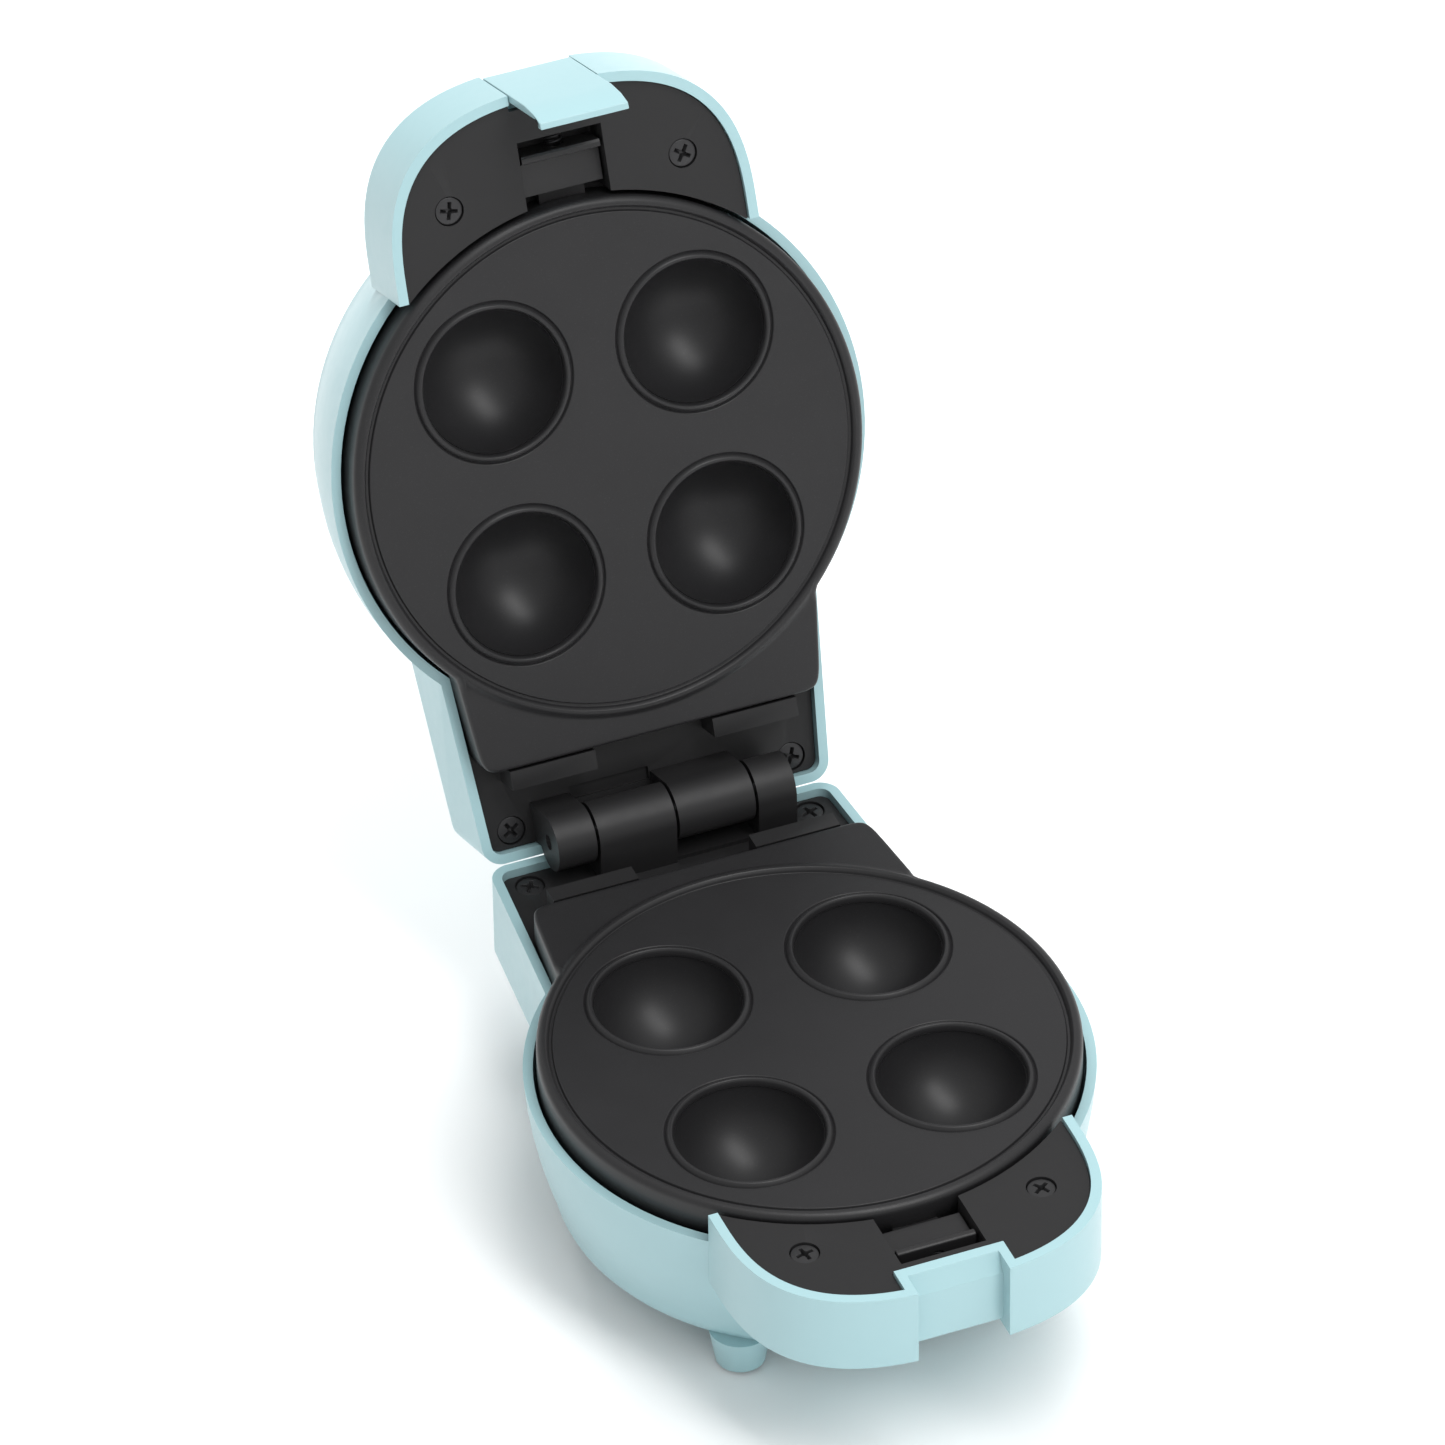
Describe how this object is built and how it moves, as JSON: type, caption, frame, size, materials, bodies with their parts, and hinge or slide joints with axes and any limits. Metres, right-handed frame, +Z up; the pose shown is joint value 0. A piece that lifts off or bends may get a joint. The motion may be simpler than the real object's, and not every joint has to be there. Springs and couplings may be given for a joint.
{
  "type": "donut maker",
  "caption": "Clamshell maker for round donut balls: hinged lid, latch, removable non-stick cup plates with release buttons, on short feet.",
  "frame": {"origin": "on the surface that the feet stand on, at the middle of the footprint's bounding box with the lid open", "axes": "+Z up, -Y towards the handle lobe and latch, +X to the right as seen from the front"},
  "size_m": [0.1402, 0.2889, 0.2391],
  "materials": {
    "housing": "satin moulded shell",
    "latch": "satin moulded clip",
    "frame": "fine matte moulding",
    "plate": "non-stick coating on cast aluminium",
    "button": "fine matte moulding",
    "reflector": "pressed sheet",
    "element": "sheathed tube",
    "clamp": "pressed",
    "screw": "black oxide",
    "spring": "black phosphated wire",
    "pad": "moulded",
    "gland": "moulded",
    "thermostat": "can",
    "fuse": "sleeve",
    "ceramic_block": null,
    "wire": "silicone insulation",
    "pin": "turned",
    "lens": "clear red",
    "lamp": "neon tube"
  },
  "bodies": {
    "base": {"lower_housing": "housing", "lower_inner_frame": "frame", "lower_plate": "plate", "lower_heat_shield": "reflector", "lower_heating_element": "element", "lower_element_clamps": "clamp", "lower_frame_screws": "screw", "lower_release_spring": "spring", "foot_pads": "pad", "cord_gland": "gland", "thermostat": "thermostat", "thermal_fuse": "fuse", "terminal_block": "ceramic_block", "base_wiring": "wire", "hinge_pin": "pin"},
    "lid": {"upper_housing": "housing", "upper_inner_frame": "frame", "upper_plate": "plate", "upper_heat_shield": "reflector", "upper_heating_element": "element", "upper_element_clamps": "clamp", "upper_frame_screws": "screw", "upper_release_spring": "spring", "indicator_lens": "lens", "indicator_lamp": "lamp", "lid_wiring": "wire", "latch_pin": "pin"},
    "latch": {"latch": "latch"},
    "lower_button": {"lower_release_button": "button"},
    "upper_button": {"upper_release_button": "button"}
  },
  "joints": [
    {"name": "lid_hinge", "type": "hinge", "parent": "base", "child": "lid", "pos_m": [0, 0.04606, 0.0555], "axis": [1, 0, 0], "range_deg": [0, 111]},
    {"name": "latch_pivot", "type": "hinge", "parent": "lid", "child": "latch", "pos_m": [0, 0.12808, 0.22592], "axis": [-1, 0, 0], "range_deg": [-3.5, 15], "stiffness_Nm_per_rad": 0.05},
    {"name": "lower_release", "type": "slide", "parent": "base", "child": "lower_button", "axis": [0, -1, 0], "range_m": [0, 0.0025], "stiffness_N_per_m": 400, "deforming": ["lower_release_spring"]},
    {"name": "upper_release", "type": "slide", "parent": "lid", "child": "upper_button", "axis": [0, 0.3584, 0.9336], "range_m": [0, 0.0025], "stiffness_N_per_m": 400, "deforming": ["upper_release_spring"]}
  ]
}
